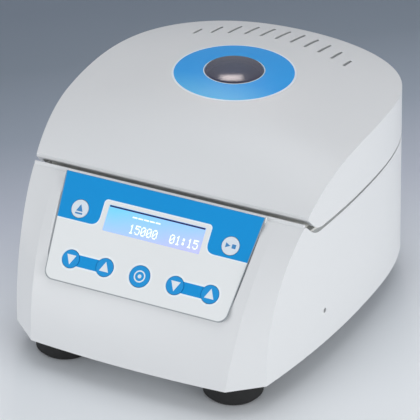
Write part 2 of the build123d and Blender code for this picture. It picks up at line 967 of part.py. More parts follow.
with BuildPart() as motor_stator:
    with BuildSketch(Plane.XY.offset(stator_bottom)):
        with Locations((0, chamber_y)):
            Circle(motor_radius - motor_wall)
            Circle(stator_bore, mode=Mode.SUBTRACT)
            with PolarLocations((stator_bore + stator_yoke) / 2 - 1, stator_slots):
                Rectangle(stator_yoke - stator_bore + 2, stator_slot, mode=Mode.SUBTRACT)
    extrude(amount=stator_height)
save(motor_stator, "motor_stator")

with BuildPart() as motor_bearings:
    for low in (motor_bottom + motor_wall, boss_top_z - bearing_height):
        with BuildSketch(Plane.XY.offset(low)):
            with Locations((0, chamber_y)):
                Circle(bearing_outer)
                Circle(spindle_radius + bearing_clearance, mode=Mode.SUBTRACT)
        extrude(amount=bearing_height)
save(motor_bearings, "motor_bearings")

with BuildPart() as motor_mount:
    with BuildSketch(Plane.XY.offset(mount_plate_z)):
        with Locations((0, chamber_y)):
            Circle(mount_plate_radius)
            Circle(bearing_outer + motor_wall + seat_clearance, mode=Mode.SUBTRACT)
        with Locations(*damper_places):
            Circle(damper_screw_radius + screw_clearance, mode=Mode.SUBTRACT)
    extrude(amount=mount_plate_thickness)
save(motor_mount, "motor_mount")

with BuildPart() as motor_dampers:
    for x, y in damper_places:
        with BuildSketch(Plane(origin=(x, y, damper_bottom), x_dir=(1, 0, 0), z_dir=(0, -1, 0))):
            Polygon(
                (damper_screw_radius + screw_clearance, 0),
                (damper_radius, 0),
                (damper_radius, 3),
                (damper_radius - damper_waist, damper_height / 2),
                (damper_radius, damper_height - 3),
                (damper_radius, damper_height),
                (damper_screw_radius + screw_clearance, damper_height),
                align=None,
            )
        revolve(axis=Axis((x, y, 0), (0, 0, 1)))
save(motor_dampers, "motor_dampers")

with BuildPart() as damper_screws:
    with BuildSketch(Plane.XY.offset(mount_plate_z + mount_plate_thickness)):
        with Locations(*damper_places):
            Circle(damper_head_radius)
    extrude(amount=damper_head_height)
    with BuildSketch(Plane.XY.offset(mount_plate_z + mount_plate_thickness)):
        with Locations(*damper_places):
            Circle(damper_screw_radius)
    extrude(amount=-(mount_plate_thickness + damper_height + damper_screw_grip - 1))
save(damper_screws, "damper_screws")

# What turns: spindle, magnet rotor, tube rotor and its nut
with BuildPart() as spindle:
    with BuildSketch(Plane.XY.offset(motor_bottom + motor_wall + 0.5)):
        with Locations((0, chamber_y)):
            Circle(spindle_radius)
    extrude(amount=spindle_top - motor_bottom - motor_wall - 0.5)
    with BuildSketch(Plane.XY.offset(rotor_seat_z - spindle_collar_height)):
        with Locations((0, chamber_y)):
            Circle(spindle_collar_radius)
    extrude(amount=spindle_collar_height)
save(spindle, "spindle")

with BuildPart() as magnet_rotor:
    with BuildSketch(Plane.XY.offset(stator_bottom)):
        with Locations((0, chamber_y)):
            Circle(stator_bore - air_gap)
            Circle(spindle_radius + hub_clearance, mode=Mode.SUBTRACT)
    extrude(amount=stator_height)
save(magnet_rotor, "magnet_rotor")

mouth_z = rotor_hub_z + rotor_dish_step + (tube_mouth_radius - rotor_dish_inner)
tube_plane = Plane(
    origin=(0, chamber_y - tube_mouth_radius, mouth_z),
    x_dir=(1, 0, 0),
    z_dir=(0, 1, 1),
)

with BuildPart(mode=Mode.PRIVATE) as hole_tool:
    with BuildSketch(tube_plane.offset(15)):
        Circle(tube_radius)
    extrude(amount=-15 - tube_depth)
    with BuildSketch(tube_plane.offset(-tube_depth)):
        Circle(tube_radius)
    with BuildSketch(tube_plane.offset(-tube_depth - tube_tip)):
        Circle(tube_radius * 0.4)
    loft()
tube_hole = hole_tool.part

with BuildPart() as tube_rotor:
    with BuildSketch(chamber_section):
        Polygon(
            (spindle_radius + hub_clearance, rotor_seat_z),
            (rotor_foot_inner, rotor_seat_z),
            (rotor_foot_outer, rotor_bottom_z),
            (rotor_radius - 8, rotor_bottom_z),
            (rotor_radius, rotor_bottom_z + 7),
            (rotor_radius, rotor_shoulder_z),
            (rotor_radius - 3, rotor_shoulder_z + 6),
            (rotor_rim_outer, rotor_rim_z),
            (rotor_rim_inner + 2.5, rotor_rim_z),
            (rotor_rim_inner, mouth_z + rotor_rim_inner - tube_mouth_radius),
            (rotor_dish_inner, rotor_hub_z + rotor_dish_step),
            (rotor_dish_inner - 3, rotor_hub_z),
            (spindle_radius + hub_clearance, rotor_hub_z),
            align=None,
        )
    revolve(axis=chamber_axis)
    for k in range(tube_count):
        add(
            tube_hole.rotate(chamber_axis, k * 360 / tube_count),
            mode=Mode.SUBTRACT,
        )
save(tube_rotor, "tube_rotor")

with BuildPart() as rotor_nut:
    with BuildSketch(Plane.XY.offset(rotor_hub_z)):
        with Locations((0, chamber_y)):
            Circle(nut_radius - nut_lobe)
            with PolarLocations(nut_radius - nut_lobe, nut_lobes):
                Circle(nut_lobe)
            Circle(spindle_radius + hub_clearance, mode=Mode.SUBTRACT)
    extrude(amount=nut_height)
    with BuildSketch(Plane.XY.offset(rotor_hub_z + nut_height)):
        with Locations((0, chamber_y)):
            Circle(nut_radius - nut_lobe)
    extrude(amount=nut_cap)
save(rotor_nut, "rotor_nut")

# Control panel: overlay, display and its lens, boards, switches and keys
with BuildPart() as control_overlay:
    with BuildSketch(panel_at(overlay_back)):
        add(panel_outline(-overlay_gap, overlay_top_v, panel_length - overlay_gap))
        with Locations((0, -display_v)):
            Rectangle(display_width + 2 * overlay_gap, display_height + 2 * overlay_gap, mode=Mode.SUBTRACT)
        for x, v, radius in key_places.values():
            with Locations((x, -v)):
                Circle(radius + key_clearance, mode=Mode.SUBTRACT)
    extrude(amount=overlay_thickness)
save(control_overlay, "control_overlay")

with BuildPart() as display_lens:
    with BuildSketch(panel_at(overlay_back)):
        with Locations((0, -display_v)):
            Rectangle(display_width, display_height)
    extrude(amount=overlay_thickness)
    with BuildSketch(panel_at(overlay_back)):
        with Locations((0, -display_v)):
            Rectangle(display_width + 4 - 2 * seat_clearance, display_height + 4 - 2 * seat_clearance)
    extrude(amount=-display_flange)
save(display_lens, "display_lens")

display_front = overlay_back - display_flange - seat_clearance
with BuildPart() as display_module:
    with BuildSketch(panel_at(display_front)):
        with Locations((0, -display_v)):
            Rectangle(display_width + 1.5, display_height + 1.5)
    extrude(amount=board_top - display_front + display_board)
    with BuildSketch(panel_at(board_top + display_board)):
        with Locations((0, -display_v)):
            Rectangle(display_width + 3.5, display_height + 12)
    extrude(amount=-display_board + 0.05)
save(display_module, "display_module")

with BuildPart() as control_board:
    with BuildSketch(panel_at(board_top)):
        with Locations((0, -(board_v_start + board_v_end) / 2)):
            RectangleRounded(2 * board_half_width, board_v_end - board_v_start, 2)
        with Locations(*standoff_places):
            Circle(board_screw_radius + screw_clearance, mode=Mode.SUBTRACT)
    extrude(amount=-board_thickness)
save(control_board, "control_board")

with BuildPart() as key_switches:
    for x, v, radius in key_places.values():
        with BuildSketch(panel_at(board_top)):
            with Locations((x, -v)):
                Rectangle(switch_size, switch_size)
        extrude(amount=switch_height - switch_stem)
        with BuildSketch(panel_at(board_top + switch_height - switch_stem)):
            with Locations((x, -v)):
                Circle(switch_size * 0.3)
        extrude(amount=switch_stem)
save(key_switches, "key_switches")

for label, (x, v, radius) in key_places.items():
    with BuildPart() as key:
        with BuildSketch(panel_at(flange_top)):
            with Locations((x, -v)):
                Circle(radius)
        extrude(amount=key_face - flange_top)
        with BuildSketch(panel_at(flange_top)):
            with Locations((x, -v)):
                Circle(radius + key_flange)
        extrude(amount=-key_flange_thickness)
    save(key, label)

with BuildPart() as board_screws:
    with BuildSketch(panel_at(board_top - board_thickness)):
        with Locations(*standoff_places):
            Circle(board_screw_radius + 1)
    extrude(amount=-case_screw_head)
    with BuildSketch(panel_at(board_top - board_thickness)):
        with Locations(*standoff_places):
            Circle(board_screw_radius - hub_clearance)
    extrude(amount=board_thickness + standoff_pilot - 0.5)
    with BuildSketch(Plane.XY.offset(floor_top + power_post_height + board_thickness)):
        with Locations(*power_post_places):
            Circle(board_screw_radius + 1)
    extrude(amount=case_screw_head)
    with BuildSketch(Plane.XY.offset(floor_top + power_post_height + board_thickness)):
        with Locations(*power_post_places):
            Circle(board_screw_radius - hub_clearance)
    extrude(amount=-board_thickness - standoff_pilot + 0.5)
save(board_screws, "board_screws")

# Power supply: board on its posts, with a transformer and two capacitors
power_board_z = floor_top + power_post_height
power_top = power_board_z + board_thickness
with BuildPart() as power_board:
    with BuildSketch(Plane.XY.offset(power_board_z)):
        with Locations((power_x, power_y)):
            RectangleRounded(power_board_width, power_board_length, 2)
        with Locations(*power_post_places):
            Circle(board_screw_radius + screw_clearance, mode=Mode.SUBTRACT)
    extrude(amount=board_thickness)
save(power_board, "power_board")

with BuildPart() as power_components:
    with BuildSketch(Plane.XY.offset(power_top)):
        with Locations((power_x, power_y - 6)):
            Rectangle(transformer_width, transformer_length)
    extrude(amount=transformer_height)
    with BuildSketch(Plane.XY.offset(power_top)):
        with Locations((power_x - 8, power_y + 16), (power_x + 8, power_y + 16)):
            Circle(capacitor_radius)
    extrude(amount=capacitor_height)
save(power_components, "power_components")

# Cooling fan: frame with struts and boss, and the impeller on its pin
with BuildPart() as fan_frame:
    with BuildSketch(Plane.XY.offset(floor_top)):
        with Locations((fan_x, fan_y)):
            RectangleRounded(fan_size, fan_size, 3)
            Circle(fan_bore, mode=Mode.SUBTRACT)
        with Locations(*fan_screw_places):
            Circle(fan_screw_radius + screw_clearance, mode=Mode.SUBTRACT)
    extrude(amount=fan_depth)
    with BuildSketch(Plane.XY.offset(floor_top)):
        with Locations((fan_x, fan_y)):
            Circle(fan_hub_radius - 1)
            with PolarLocations(fan_bore / 2 + 2, 4, start_angle=45):
                Rectangle(fan_bore, 3)
    extrude(amount=fan_boss_height - 0.5)
    with BuildSketch(Plane.XY.offset(floor_top)):
        with Locations((fan_x, fan_y)):
            Circle(fan_hub_radius - 1)
    extrude(amount=fan_boss_height)
    with BuildSketch(Plane.XY.offset(floor_top)):
        with Locations((fan_x, fan_y)):
            Circle(fan_pin_radius)
    extrude(amount=fan_boss_height + fan_pin_height)
save(fan_frame, "fan_frame")

fan_hub_z = floor_top + fan_boss_height + 0.3
blade_length = fan_bore - fan_hub_radius
blade = Pos(fan_hub_radius - 1 + blade_length / 2, 0, 0) * Rot(fan_blade_pitch, 0, 0) * Box(
    blade_length, fan_blade_chord, fan_blade_thickness
)
blade = blade & Cylinder(fan_bore - fan_tip_gap, 20)
with BuildPart() as fan_impeller:
    with BuildSketch(Plane.XY.offset(fan_hub_z)):
        with Locations((fan_x, fan_y)):
            Circle(fan_hub_radius)
    extrude(amount=fan_hub_height)
    for k in range(fan_blade_count):
        turned = Rot(0, 0, k * 360 / fan_blade_count) * blade
        add(Pos(fan_x, fan_y, fan_hub_z + fan_hub_height / 2) * turned)
    with BuildSketch(Plane.XY.offset(fan_hub_z)):
        with Locations((fan_x, fan_y)):
            Circle(fan_pin_radius + bearing_clearance)
    extrude(amount=fan_pin_height, mode=Mode.SUBTRACT)
save(fan_impeller, "fan_impeller")

with BuildPart() as fan_screws:
    with BuildSketch(Plane.XY.offset(floor_top + fan_depth)):
        with Locations(*fan_screw_places):
            Circle(fan_screw_radius + 1.2)
    extrude(amount=case_screw_head)
    with BuildSketch(Plane.XY.offset(floor_top + fan_depth)):
        with Locations(*fan_screw_places):
            Circle(fan_screw_radius)
    extrude(amount=-fan_depth - floor_thickness + 0.5)
save(fan_screws, "fan_screws")

# Lid catch: striker under the lid, bolt, bracket and solenoid under the deck
striker_front = striker_y - striker_thickness
catch_low = catch_z - catch_clearance
catch_tip = striker_front - catch_rest_gap
catch_back = catch_tip - catch_length
solenoid_z = catch_z + catch_thickness / 2
solenoid_back = catch_back - catch_clearance
bracket_low = solenoid_z - solenoid_radius - bracket_thickness
bracket_rear = catch_tip - catch_rest_gap
bracket_inner = catch_width / 2 + catch_clearance

with BuildPart() as lid_striker:
    with BuildSketch(Plane.XZ.offset(-striker_y)):
        with Locations((0, striker_foot_z)):
            Rectangle(striker_width, liner_top - striker_foot_z, align=(Align.CENTER, Align.MIN))
        with Locations((0, catch_low)):
            Rectangle(
                striker_window_width,
                striker_window_height,
                align=(Align.CENTER, Align.MIN),
                mode=Mode.SUBTRACT,
            )
    extrude(amount=striker_thickness)
    box_between(
        (-striker_width / 2, striker_front, liner_top),
        (striker_width / 2, striker_y + striker_tab, liner_top + striker_thickness),
    )
save(lid_striker, "lid_striker")

with BuildPart() as catch_bolt:
    with BuildSketch(Plane.YZ.offset(-catch_width / 2)):
        Polygon(
            (catch_back, catch_z),
            (catch_tip, catch_z),
            (catch_tip, catch_z + 1),
            (catch_tip - 2, catch_z + catch_thickness),
            (catch_back, catch_z + catch_thickness),
            align=None,
        )
    extrude(amount=catch_width)
    with BuildSketch(Plane.XZ.offset(-catch_back)):
        with Locations((0, solenoid_z)):
            Circle(plunger_radius)
    extrude(amount=plunger_length)
save(catch_bolt, "catch_bolt")

with BuildPart() as catch_solenoid:
    with BuildSketch(Plane.XZ.offset(-solenoid_back)):
        with Locations((0, solenoid_z)):
            Circle(solenoid_radius)
            Circle(plunger_radius + bearing_clearance, mode=Mode.SUBTRACT)
    extrude(amount=solenoid_length)
save(catch_solenoid, "catch_solenoid")

with BuildPart() as catch_bracket:
    box_between(
        (-bracket_inner - bracket_thickness, solenoid_back - solenoid_length, bracket_low),
        (bracket_inner + bracket_thickness, bracket_rear, bracket_low + bracket_thickness),
    )
    box_between(
        (-bracket_inner - bracket_thickness, catch_back, bracket_low + bracket_thickness),
        (bracket_inner + bracket_thickness, bracket_rear, catch_low),
    )
    for side in (-1, 1):
        near = side * bracket_inner
        far = side * (bracket_inner + bracket_thickness)
        flange = side * (bracket_inner + bracket_thickness + bracket_flange)
        box_between(
            (min(near, far), catch_back, bracket_low),
            (max(near, far), bracket_rear, deck_z),
        )
        box_between(
            (min(near, flange), catch_back, deck_z - bracket_thickness),
            (max(near, flange), bracket_rear, deck_z),
        )
save(catch_bracket, "catch_bracket")

# Hinge: a leaf on the base, a leaf on the lid and the pin between them
knuckle = hinge_width / hinge_knuckles
base_knuckle_xs = [(k - (hinge_knuckles - 1) / 2) * knuckle for k in range(0, hinge_knuckles, 2)]
lid_knuckle_xs = [(k - (hinge_knuckles - 1) / 2) * knuckle for k in range(1, hinge_knuckles, 2)]
knuckle_width = knuckle - hinge_knuckle_gap
base_leaf_top = hinge_z - hinge_radius + hinge_leaf
lid_leaf_low = hinge_z + hinge_radius - hinge_leaf

with BuildPart() as hinge_base_leaf:
    box_between(
        (-hinge_width / 2, hinge_seat_y, hinge_seat_low + 0.6),
        (hinge_width / 2, hinge_seat_y + hinge_leaf, base_leaf_top),
    )
    for x in base_knuckle_xs:
        box_between(
            (x - knuckle_width / 2, hinge_seat_y, base_leaf_top - hinge_leaf),
            (x + knuckle_width / 2, hinge_y, base_leaf_top),
        )
        with BuildSketch(Plane.YZ.offset(x - knuckle_width / 2)):
            with Locations((hinge_y, hinge_z)):
                Circle(hinge_radius)
        extrude(amount=knuckle_width)
    with BuildSketch(Plane.YZ.offset(-hinge_width)):
        with Locations((hinge_y, hinge_z)):
            Circle(hinge_pin_radius + hinge_pin_clearance)
    extrude(amount=2 * hinge_width, mode=Mode.SUBTRACT)
    with BuildSketch(Plane.XZ.offset(-hinge_seat_y)):
        with Locations(*[(x, hinge_base_screw_z) for x in hinge_screw_xs]):
            Circle(hinge_screw_radius + screw_clearance)
    extrude(amount=-hinge_leaf, mode=Mode.SUBTRACT)
save(hinge_base_leaf, "hinge_base_leaf")

with BuildPart() as hinge_lid_leaf:
    box_between(
        (-hinge_width / 2, hinge_seat_y, hinge_z + hinge_radius - 0.8),
        (hinge_width / 2, hinge_seat_y + hinge_leaf, hinge_z + hinge_leaf_height),
    )
    for x in lid_knuckle_xs:
        box_between(
            (x - knuckle_width / 2, hinge_seat_y, lid_leaf_low),
            (x + knuckle_width / 2, hinge_y, lid_leaf_low + hinge_leaf),
        )
        with BuildSketch(Plane.YZ.offset(x - knuckle_width / 2)):
            with Locations((hinge_y, hinge_z)):
                Circle(hinge_radius)
        extrude(amount=knuckle_width)
    with BuildSketch(Plane.YZ.offset(-hinge_width)):
        with Locations((hinge_y, hinge_z)):
            Circle(hinge_pin_radius + hinge_pin_clearance)
    extrude(amount=2 * hinge_width, mode=Mode.SUBTRACT)
    with BuildSketch(Plane.XZ.offset(-hinge_seat_y)):
        with Locations(*[(x, hinge_lid_screw_z) for x in hinge_screw_xs]):
            Circle(hinge_screw_radius + screw_clearance)
    extrude(amount=-hinge_leaf, mode=Mode.SUBTRACT)
save(hinge_lid_leaf, "hinge_lid_leaf")

with BuildPart() as hinge_pin:
    with BuildSketch(Plane.YZ.offset(-hinge_width / 2 - 1)):
        with Locations((hinge_y, hinge_z)):
            Circle(hinge_pin_radius)
    extrude(amount=hinge_width + 2)
save(hinge_pin, "hinge_pin")

for label, height in (("hinge_base_screws", hinge_base_screw_z), ("hinge_lid_screws", hinge_lid_screw_z)):
    with BuildPart() as hinge_screws:
        with BuildSketch(Plane.XZ.offset(-hinge_seat_y - hinge_leaf)):
            with Locations(*[(x, height) for x in hinge_screw_xs]):
                Circle(hinge_screw_head_radius)
        extrude(amount=-hinge_screw_head)
        with BuildSketch(Plane.XZ.offset(-hinge_seat_y - hinge_leaf)):
            with Locations(*[(x, height) for x in hinge_screw_xs]):
                Circle(hinge_screw_radius - hub_clearance)
        extrude(amount=hinge_leaf + hinge_screw_length)
    save(hinge_screws, label)

# Lid: domed shell, liner with its sight tube, window and ring label


def dome_section(x, drop, front_y, front_z):
    """Side view of the dome at one width, as a face in Y and Z."""
    crest = dome_height - drop - x**2 / (2 * dome_side_radius)

    def along(y):
        return crest - dome_long_radius + math.sqrt(dome_long_radius**2 - (y - dome_crest_y) ** 2)

    rear_y = body_rear + 8
    middle_y = (dome_brow_y + rear_y) / 2
    brow = (dome_brow_y, along(dome_brow_y))
    slope = (dome_crest_y - dome_brow_y) / (brow[1] - crest + dome_long_radius)
    with BuildSketch(mode=Mode.PRIVATE) as section:
        with BuildLine():
            ThreePointArc(brow, (middle_y, along(middle_y)), (rear_y, along(rear_y)))
            TangentArc(brow, (front_y, front_z), tangent=(-1, -slope))
            Polyline(
                (front_y, front_z),
                (front_y, front_z - 40),
                (rear_y, front_z - 40),
                (rear_y, along(rear_y)),
            )
        make_face()
    return section.sketch


def dome_block(drop, front_y, front_z):
    """Solid under the dome, wider and deeper than the lid itself."""
    with BuildPart(mode=Mode.PRIVATE) as block:
        for k in range(-3, 4):
            x = k * (body_half_width + 7.2) / 3
            with BuildSketch(Plane.YZ.offset(x)):
                add(dome_section(x, drop, front_y, front_z))
        loft()
    return block.part


lid_low = base_side_top - 4
lid_high = dome_height + 4
dome_outer = dome_block(0, lid_front, lid_front_upper)
dome_inner = dome_block(casing_wall, lid_front + lid_front_wall, lid_front_upper - lid_front_drop)
lid_solid = walls(lid_low, lid_high, 0, lid_front) & dome_outer
lid_hollow = walls(lid_low - 1, lid_high, casing_wall, lid_front + lid_front_wall) & dome_inner
lid_posts = Part()
for x, y in lid_boss_places:
    lid_posts = lid_posts + Pos(x, y, liner_top) * Cylinder(
        lid_boss_radius, 60, align=(Align.CENTER, Align.CENTER, Align.MIN)
    )
lid_hollow = lid_hollow - lid_posts
label_band = Pos(0, chamber_y, lid_high - 20) * (
    Cylinder(label_radius + window_clearance, 40) - Cylinder(window_radius - 1, 50)
)
dome_seat = dome_block(label_thickness - label_proud, lid_front, lid_front_upper)
lid_underside = seam_block(lid_front, lid_front_lower, lid_side_lower, lid_rear_lower)

with BuildPart() as lid_shell:
    add(lid_solid - lid_hollow - (label_band - dome_seat) - lid_underside)
    # Window hole and the row of vent slots behind it
    with BuildSketch(Plane.XY.offset(liner_top + 1)):
        with Locations((0, chamber_y)):
            Circle(window_radius + window_clearance)
        for k in range(vent_count):
            x = (k - (vent_count - 1) / 2) * vent_pitch
            front_end = vent_front_y + math.sqrt(vent_front_radius**2 - x**2)
            rear_end = vent_rear_y + math.sqrt(vent_rear_radius**2 - x**2)
            with Locations((x, (front_end + rear_end) / 2)):
                SlotOverall(rear_end - front_end, vent_width, rotation=90)
    extrude(amount=lid_high - liner_top, mode=Mode.SUBTRACT)
    # Flat seat for the hinge leaf, and its pilot holes
    with BuildSketch(Plane.XY.offset(lid_low)):
        with Locations((0, hinge_seat_y)):
            Rectangle(hinge_width + 2, 20, align=(Align.CENTER, Align.MIN))
    extrude(amount=hinge_z + hinge_leaf_height + 1 - lid_low, mode=Mode.SUBTRACT)
    with BuildSketch(Plane.XZ.offset(-hinge_seat_y)):
        with Locations(*[(x, hinge_lid_screw_z) for x in hinge_screw_xs]):
            Circle(hinge_screw_radius)
    extrude(amount=8, mode=Mode.SUBTRACT)
    with BuildSketch(Plane.XY.offset(liner_top)):
        with Locations(*lid_boss_places):
            Circle(case_screw_radius)
    extrude(amount=case_screw_length - 4, mode=Mode.SUBTRACT)
save(lid_shell, "lid_shell")

label_outline = Pos(0, chamber_y, lid_high - 20) * (
    Cylinder(label_radius, 40) - Cylinder(window_radius + window_clearance, 50)
)
with BuildPart() as ring_label:
    add((dome_block(-label_proud, lid_front, lid_front_upper) - dome_seat) & label_outline)
save(ring_label, "ring_label")

window_seat_z = dome_height - casing_wall - window_seat_drop
with BuildPart() as window_lens:
    with BuildSketch(chamber_section):
        with BuildLine():
            Polyline(
                (0, dome_height + window_rise),
                (window_radius - window_sag, dome_height + window_rise),
                (window_radius, dome_height + window_rise - window_sag),
                (window_radius, window_seat_z),
                (window_radius + window_flange, window_seat_z),
                (window_radius + window_flange, window_seat_z - window_lip),
                (window_radius - window_thickness, window_seat_z - window_lip),
                (window_radius - window_thickness, dome_height + window_rise - window_sag - window_thickness),
                (0, dome_height + window_rise - window_thickness),
                (0, dome_height + window_rise),
            )
        make_face()
    revolve(axis=chamber_axis)
save(window_lens, "window_lens")

liner_room = dome_block(
    casing_wall + liner_gap,
    lid_front + lid_front_wall + liner_gap,
    lid_front_upper - lid_front_drop - liner_gap,
)
liner_blank = walls(liner_z, liner_top, casing_wall + liner_gap, liner_front) & liner_room

with BuildPart() as lid_liner:
    add(liner_blank)
    with BuildSketch(Plane.XY.offset(liner_z)):
        with Locations((0, chamber_y)):
            Circle(window_radius + window_flange)
    extrude(amount=window_seat_z - window_lip - liner_z)
    with BuildSketch(Plane.XY.offset(liner_z)):
        with Locations((0, chamber_y)):
            Circle(gasket_inner + gasket_width)
            Circle(gasket_inner, mode=Mode.SUBTRACT)
    extrude(amount=-liner_rib_height)
    with BuildSketch(Plane.XY.offset(liner_z)):
        with Locations((0, chamber_y)):
            Circle(window_radius - 1)
        with Locations(*lid_boss_places):
            Circle(case_screw_radius + screw_clearance)
        with Locations((0, striker_y - striker_thickness / 2)):
            Rectangle(striker_width + 2 * seat_clearance, striker_thickness + 2 * seat_clearance)
    extrude(amount=window_seat_z - liner_z, mode=Mode.SUBTRACT)
save(lid_liner, "lid_liner")

with BuildPart() as lid_screws:
    with BuildSketch(Plane.XY.offset(liner_z)):
        with Locations(*lid_boss_places):
            Circle(case_screw_head_radius)
    extrude(amount=-lid_screw_head)
    with BuildSketch(Plane.XY.offset(liner_z)):
        with Locations(*lid_boss_places):
            Circle(case_screw_radius - hub_clearance)
    extrude(amount=liner_thickness + case_screw_length - 5)
save(lid_screws, "lid_screws")

# Connector panel at the rear with the mains inlet and the power switch
rear_face = rear_panel_y + rear_panel_thickness
rear_middle_z = (rear_panel_low + rear_panel_high) / 2

with BuildPart() as rear_panel:
    with BuildSketch(Plane.XZ.offset(-rear_panel_y)):
        add(rear_panel_outline(0))
        with Locations((inlet_x, rear_middle_z)):
            Rectangle(inlet_width + 2 * seat_clearance, inlet_height + 2 * seat_clearance, mode=Mode.SUBTRACT)
        with Locations((switch_x, rear_middle_z)):
            Rectangle(rocker_width + 2 * seat_clearance, rocker_height + 2 * seat_clearance, mode=Mode.SUBTRACT)
        with Locations(*panel_screw_places):
            Circle(panel_screw_radius + screw_clearance / 2, mode=Mode.SUBTRACT)
    extrude(amount=-rear_panel_thickness)
save(rear_panel, "rear_panel")

with BuildPart() as rear_panel_screws:
    with BuildSketch(Plane.XZ.offset(-rear_face)):
        with Locations(*panel_screw_places):
            Circle(panel_screw_head_radius)
    extrude(amount=-1)
    with BuildSketch(Plane.XZ.offset(-rear_face)):
        with Locations(*panel_screw_places):
            Circle(panel_screw_radius - hub_clearance)
    extrude(amount=rear_panel_thickness + panel_screw_grip - 0.5)
save(rear_panel_screws, "rear_panel_screws")

with BuildPart() as mains_inlet:
    with BuildSketch(Plane.XZ.offset(-rear_face)):
        with Locations((inlet_x, rear_middle_z)):
            RectangleRounded(inlet_width + 4, inlet_height + 4, 2)
    extrude(amount=-inlet_flange)
    with BuildSketch(Plane.XZ.offset(-rear_face)):
        with Locations((inlet_x, rear_middle_z)):
            Rectangle(inlet_width, inlet_height)
    extrude(amount=inlet_depth)
    with BuildSketch(Plane.XZ.offset(-rear_face - inlet_flange)):
        with Locations((inlet_x, rear_middle_z)):
            socket = Rectangle(inlet_socket_width, inlet_socket_height)
            chamfer(socket.vertices().group_by(Axis.Y)[-1], 3.5)
    extrude(amount=inlet_socket_depth, mode=Mode.SUBTRACT)
save(mains_inlet, "mains_inlet")

socket_floor_y = rear_face + inlet_flange - inlet_socket_depth
with BuildPart() as inlet_pins:
    with BuildSketch(Plane.XZ.offset(-socket_floor_y)):
        with Locations(
            (inlet_x - 7, rear_middle_z + 0.5),
            (inlet_x, rear_middle_z + 3.5),
            (inlet_x + 7, rear_middle_z + 0.5),
        ):
            Rectangle(2, 4)
    extrude(amount=-inlet_pin_length)
save(inlet_pins, "inlet_pins")

rocker_y = rear_face - rocker_pivot_depth
rocker_half = rocker_width / 2 - rocker_wall - rocker_gap
with BuildPart() as power_switch:
    with BuildSketch(Plane.XZ.offset(-rear_face)):
        with Locations((switch_x, rear_middle_z)):
            RectangleRounded(rocker_width + 3, rocker_height + 3, 1)
    extrude(amount=-inlet_flange)
    with BuildSketch(Plane.XZ.offset(-rear_face)):
        with Locations((switch_x, rear_middle_z)):
            Rectangle(rocker_width, rocker_height)
    extrude(amount=switch_depth)
    with BuildSketch(Plane.XZ.offset(-rear_face - inlet_flange)):
        with Locations((switch_x, rear_middle_z)):
            Rectangle(2 * (rocker_half + rocker_gap), rocker_height - 2 * rocker_end_wall)
    extrude(amount=inlet_flange + switch_depth - 1.5, mode=Mode.SUBTRACT)
    with BuildSketch(Plane.YZ.offset(switch_x - rocker_half - rocker_trunnion - 0.1)):
        with Locations((rocker_y, rear_middle_z)):
            Circle(rocker_pin_radius + bearing_clearance)
    extrude(amount=2 * (rocker_half + rocker_trunnion + 0.1), mode=Mode.SUBTRACT)
save(power_switch, "power_switch")

with BuildPart(mode=Mode.PRIVATE) as level_rocker:
    with BuildSketch(Plane.YZ.offset(switch_x - rocker_half)):
        with Locations((rocker_y, rear_middle_z)):
            Polygon((-2, -6), (5, -8), (4, 0), (5, 8), (-2, 6), align=None)
    extrude(amount=2 * rocker_half)
    with BuildSketch(Plane.YZ.offset(switch_x - rocker_half - rocker_trunnion)):
        with Locations((rocker_y, rear_middle_z)):
            Circle(rocker_pin_radius)
    extrude(amount=2 * (rocker_half + rocker_trunnion))
rocker_axis = Axis((switch_x, rocker_y, rear_middle_z), (1, 0, 0))
with BuildPart() as power_rocker:
    add(level_rocker.part.rotate(rocker_axis, -rocker_tilt))
save(power_rocker, "power_rocker")
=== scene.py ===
import math

import bmesh
import bpy
from mathutils import Matrix, Vector


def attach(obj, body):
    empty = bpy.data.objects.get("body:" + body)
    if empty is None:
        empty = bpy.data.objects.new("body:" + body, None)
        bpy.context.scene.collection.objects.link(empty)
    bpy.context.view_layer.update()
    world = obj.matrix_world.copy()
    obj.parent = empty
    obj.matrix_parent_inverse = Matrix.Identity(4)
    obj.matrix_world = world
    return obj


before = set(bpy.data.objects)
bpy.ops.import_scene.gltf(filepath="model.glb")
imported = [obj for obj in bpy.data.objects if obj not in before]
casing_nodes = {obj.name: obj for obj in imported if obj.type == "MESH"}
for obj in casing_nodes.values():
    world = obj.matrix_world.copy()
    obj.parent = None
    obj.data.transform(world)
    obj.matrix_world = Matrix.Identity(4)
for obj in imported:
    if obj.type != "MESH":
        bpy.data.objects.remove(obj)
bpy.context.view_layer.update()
scene = bpy.context.scene

# Sizes that the printing and the display need, in metres
panel_slope = math.radians(49.7)
panel_top_y = -0.0744
panel_top_z = 0.1112
display_half = 0.03225
display_mid_v = 0.0231
display_half_height = 0.008
chamber_y = 0.0215
key_upper_x = 0.0506
key_upper_v = 0.0219
key_lower_v = 0.0529
key_outer_x = 0.0468
key_inner_x = 0.0236

panel_up = Vector((0, math.cos(panel_slope), math.sin(panel_slope)))
panel_out = Vector((0, -math.sin(panel_slope), math.cos(panel_slope)))
panel_origin = Vector((0, panel_top_y, panel_top_z))


def tint(red, green, blue):
    """Linear colour from an 8-bit display colour."""
    def linear(level):
        level /= 255
        return level / 12.92 if level <= 0.04045 else ((level + 0.055) / 1.055) ** 2.4
    return (linear(red), linear(green), linear(blue), 1.0)


